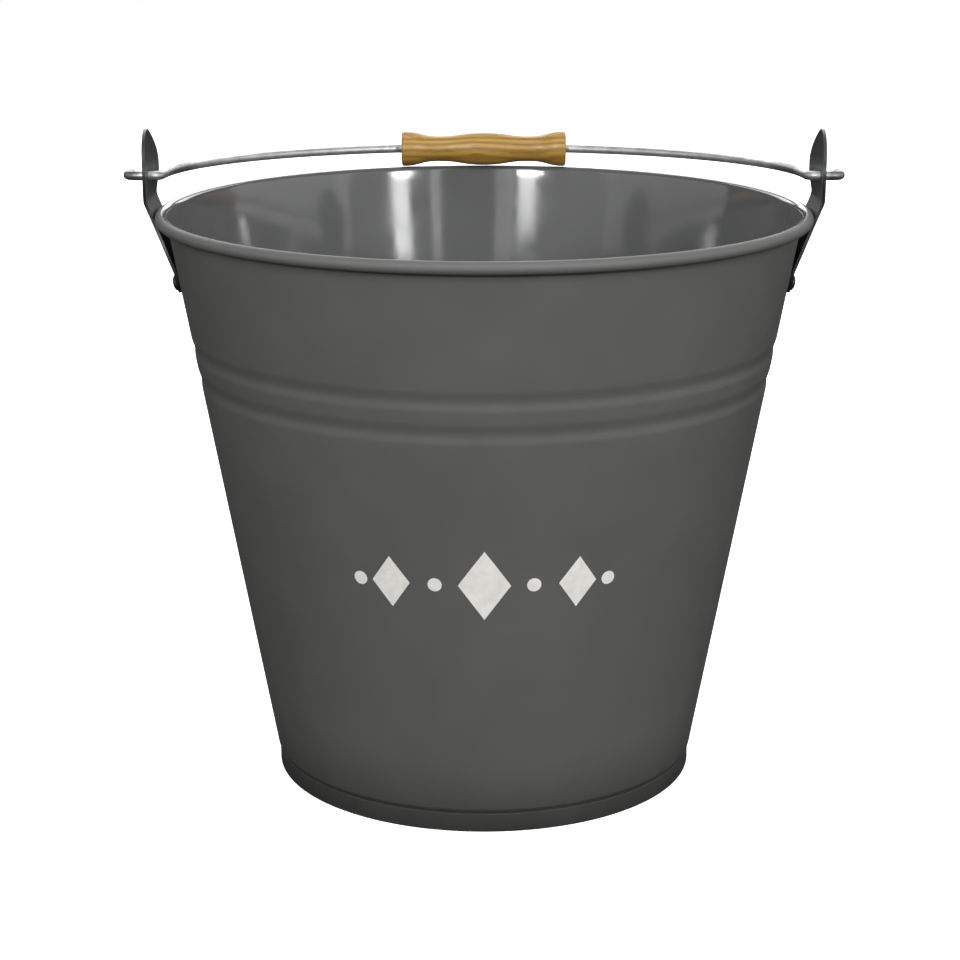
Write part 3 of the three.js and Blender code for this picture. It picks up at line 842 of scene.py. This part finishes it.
def painted_patch(name, across, width, height, roundness):
    """A closed coat of paint on the wall's front. roundness 1 outlines a lozenge and 2 an ellipse."""
    rings, spokes = ORNAMENT_RINGS, ORNAMENT_SPOKES
    front = -math.pi / 2

    def on_wall(x, z, lift):
        radius = beside_wall(z, lift)
        angle = front + x / beside_wall(ORNAMENT_HEIGHT, 0)
        return Vector((radius * math.cos(angle), radius * math.sin(angle), z))

    layers = []
    for lift in (ORNAMENT_COAT, ORNAMENT_GAP):
        points = [on_wall(across, ORNAMENT_HEIGHT, lift)]
        for ring in range(1, rings + 1):
            for k in range(spokes):
                angle = 2 * math.pi * k / spokes
                c, s = math.cos(angle), math.sin(angle)
                size = ring / rings / (abs(c) ** roundness + abs(s) ** roundness) ** (1 / roundness)
                x = across + c * size * width / 2
                z = ORNAMENT_HEIGHT + s * size * height / 2
                points.append(on_wall(x, z, lift))
        layers.append(points)
    under = len(layers[0])
    faces = []
    for k in range(spokes):
        step = (k + 1) % spokes
        faces.append((0, 1 + k, 1 + step))
        faces.append((under, under + 1 + step, under + 1 + k))
        for ring in range(rings - 1):
            a, b = 1 + ring * spokes + k, 1 + ring * spokes + step
            faces.append((a, a + spokes, b + spokes, b))
            faces.append((under + b, under + b + spokes, under + a + spokes, under + a))
        a, b = 1 + (rings - 1) * spokes + k, 1 + (rings - 1) * spokes + step
        faces.append((a, a + under, b + under, b))
    return add_piece(name, layers[0] + layers[1], faces, CREAM)


# ---- Assembly ----

for made, node in ((body_shell(), "body_shell"), (base_pan(), "base_pan")):
    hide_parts(node)
    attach(made, "bucket")

for side_name, side in (("right", 1), ("left", -1)):
    made = ear(f"ear_{side_name}_fine", side)
    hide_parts(f"ear_{side_name}")
    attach(made, "bucket")
    for spot in ("front", "rear"):
        node = f"rivet_{side_name}_{spot}"
        made = rivet(node, side)
        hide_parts(node)
        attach(made, "bucket")

for index, (across, width, height) in enumerate(LOZENGES):
    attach(painted_patch(f"painted_lozenge_{index + 1}", across, width, height, 1.0), "bucket")
for index, across in enumerate(DOTS):
    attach(painted_patch(f"painted_dot_{index + 1}", across, DOT_WIDTH, DOT_WIDTH, 2.0), "bucket")

frame["nodes"]["rim_wire"].data.materials.clear()
frame["nodes"]["rim_wire"].data.materials.append(WIRE)

wire = bail_wire()
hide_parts("bail_wire")
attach(wire, "bail")

grip = wood_grip()
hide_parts("wood_grip")
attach(grip, "grip")

# ---- Floor, light and camera ----

FLOOR_RADIUS = 14
FLOOR_SIDES = 128
FLOOR_GLOW = 0.96
ROOM_LIGHT = 0.015  # the light that the white surroundings give; the camera sees them at full strength

LIGHT_TARGET = Vector((0, 0, 0.2))
LIGHT_DISTANCE = 2.5

# Each softbox's name, its azimuth and elevation in degrees, its width and height, and its radiance.
STRIPS = (
    ("right_strip", 34, 24, 0.30, 1.3, 14.5),
    ("narrow_strip", 19.4, 24, 0.17, 1.3, 3.4),
    ("dim_strip", -7.8, 24, 0.29, 1.3, 2.1),
    ("left_strip", -17.2, 27.5, 0.31, 1.3, 13.8),
)
GLINTS = (
    ("right_glint", 33, 19.6, 0.29, 0.14, 60),
    ("left_glint", -18.5, 19.8, 0.40, 0.14, 62),
)
BROAD_BOXES = (
    ("front_left", -31, 22, 1.9, 1.9, 0.65),
    ("front_middle", 5, 22, 1.0, 1.9, 0.3),
    ("front_right", 41, 22, 1.9, 1.9, 0.6),
    ("left_side", -80, 16, 2.7, 2.0, 1.05),
    ("right_side", 86, 16, 2.8, 2.0, 1.35),
)
# The last number of these two is their own distance.
OVERHEAD = ("overhead", 0, 80, 1.2, 1.2, 3.0, 2.2)
BEHIND = ("behind", 180, 30, 3.2, 1.8, 4.2, 2.6)

CAMERA_PLACE = (-0.002, -1.117, 0.4466)
CAMERA_DIP = 15.15  # degrees below level
CAMERA_LENS = 87  # this and the sensor's width are in millimetres
CAMERA_SENSOR = 36


def pale_floor():
    """A pale floor that glows a little, so that it stays pale far behind the bucket."""
    bpy.ops.mesh.primitive_circle_add(vertices=FLOOR_SIDES, radius=FLOOR_RADIUS, fill_type="NGON")
    floor = bpy.context.object
    floor.name = "floor"
    s = Shader("pale_floor")
    s.set(Base_Color=FLOOR_GREY, Roughness=0.9, Emission_Color=WHITE, Emission_Strength=FLOOR_GLOW)
    floor.data.materials.append(s.material)
    floor.visible_diffuse = False
    floor.visible_glossy = False


def softbox(name, azimuth, elevation, width, height, radiance, distance=LIGHT_DISTANCE):
    """An area light that faces the bucket. Its azimuth is 0 at the front and 90 degrees on the right."""
    data = bpy.data.lights.new(name, "AREA")
    data.shape = "RECTANGLE"
    data.size = width
    data.size_y = height
    data.energy = radiance * math.pi * width * height
    lamp = bpy.data.objects.new(name, data)
    a, e = math.radians(azimuth), math.radians(elevation)
    away = Vector((math.sin(a) * math.cos(e), -math.cos(a) * math.cos(e), math.sin(e)))
    lamp.location = LIGHT_TARGET + away * distance
    lamp.rotation_euler = away.to_track_quat("Z", "Y").to_euler()
    lamp.visible_camera = False
    bpy.context.scene.collection.objects.link(lamp)


def studio():
    """The lights and the white surroundings.

    The strips streak the polished inside, and the two glints show in it after a second reflection. The broad
    boxes in front and at the sides, and those overhead and behind, light the rest evenly.
    """
    for box in (*STRIPS, *GLINTS, *BROAD_BOXES, OVERHEAD, BEHIND):
        softbox(*box)
    world = bpy.data.worlds.new("studio")
    bpy.context.scene.world = world
    world.use_nodes = True
    tree = world.node_tree
    background = tree.nodes["Background"]
    seen = tree.nodes.new("ShaderNodeLightPath")
    pale = tree.nodes.new("ShaderNodeMapRange")
    pale.inputs["To Min"].default_value = ROOM_LIGHT
    pale.inputs["To Max"].default_value = 1.0
    tree.links.new(seen.outputs["Is Camera Ray"], pale.inputs["Value"])
    tree.links.new(pale.outputs["Result"], background.inputs["Strength"])
    background.inputs["Color"].default_value = WHITE


def camera():
    """The photograph's view: from the front, a little above the rim."""
    data = bpy.data.cameras.new("camera")
    data.sensor_width = CAMERA_SENSOR
    data.lens = CAMERA_LENS
    seen = bpy.data.objects.new("camera", data)
    seen.location = CAMERA_PLACE
    seen.rotation_euler = (math.radians(90 - CAMERA_DIP), 0, 0)
    bpy.context.scene.collection.objects.link(seen)
    bpy.context.scene.camera = seen


pale_floor()
studio()
camera()
bpy.context.scene.view_settings.view_transform = "Standard"
